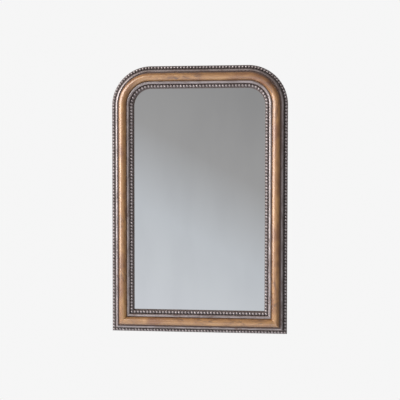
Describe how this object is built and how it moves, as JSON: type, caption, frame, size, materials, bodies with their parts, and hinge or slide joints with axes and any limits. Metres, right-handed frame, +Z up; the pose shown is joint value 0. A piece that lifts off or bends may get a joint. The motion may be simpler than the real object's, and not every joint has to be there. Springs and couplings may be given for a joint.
{
  "type": "wall mirror",
  "caption": "Upright wall mirror in a gilt half-round moulding with rounded upper corners, mitred lower corners, beaded inner and outer edges and swinging D-ring hangers behind.",
  "frame": {"origin": "on the wall plane, half way between the inner crowns of the raised hanging rings, where the wall hooks carry the mirror", "axes": "+Z up, +Y from the mirror towards the wall, so the glass faces -Y, +X to the right as seen from the front"},
  "size_m": [0.6, 0.0487, 0.91],
  "materials": {
    "gilt_wood": "worn bronze gilding over dark bole on wood",
    "silvered_beads": "aged silver leaf on cast composition",
    "mirror_glass": "silvered float glass",
    "setting_block_rubber": "matte",
    "packing_card": "corrugated card",
    "back_hardboard": "bare hardboard",
    "zinc_screws": "zinc plated",
    "dowel_wood": "fluted beech",
    "nail_steel": "bare steel",
    "hanger_steel": "nickel plated",
    "ring_steel": "nickel plated",
    "bumper_rubber": "matte"
  },
  "bodies": {
    "frame": {"left_stile": "gilt_wood", "right_stile": "gilt_wood", "bottom_rail": "gilt_wood", "top_rail": "gilt_wood", "left_corner": "gilt_wood", "right_corner": "gilt_wood", "outer_beads_left": "silvered_beads", "outer_beads_right": "silvered_beads", "outer_beads_bottom": "silvered_beads", "outer_beads_top": "silvered_beads", "outer_beads_left_corner": "silvered_beads", "outer_beads_right_corner": "silvered_beads", "inner_beads_left": "silvered_beads", "inner_beads_right": "silvered_beads", "inner_beads_bottom": "silvered_beads", "inner_beads_top": "silvered_beads", "inner_beads_left_corner": "silvered_beads", "inner_beads_right_corner": "silvered_beads", "mirror_glass": "mirror_glass", "setting_blocks": "setting_block_rubber", "packing_sheet": "packing_card", "back_panel": "back_hardboard", "panel_screws": "zinc_screws", "hanger_screws": "zinc_screws", "corner_dowels": "dowel_wood", "mitre_nails": "nail_steel", "left_hanger_strap": "hanger_steel", "right_hanger_strap": "hanger_steel", "wall_bumpers": "bumper_rubber"},
    "left_ring": {"left_hanger_ring": "ring_steel"},
    "right_ring": {"right_hanger_ring": "ring_steel"}
  },
  "joints": [
    {"name": "left_ring_swing", "type": "hinge", "parent": "frame", "child": "left_ring", "pos_m": [-0.275, -0.0034, -0.014], "axis": [-1, 0, 0], "range_deg": [0, 174]},
    {"name": "right_ring_swing", "type": "hinge", "parent": "frame", "child": "right_ring", "pos_m": [0.275, -0.0034, -0.014], "axis": [-1, 0, 0], "range_deg": [0, 174]}
  ]
}
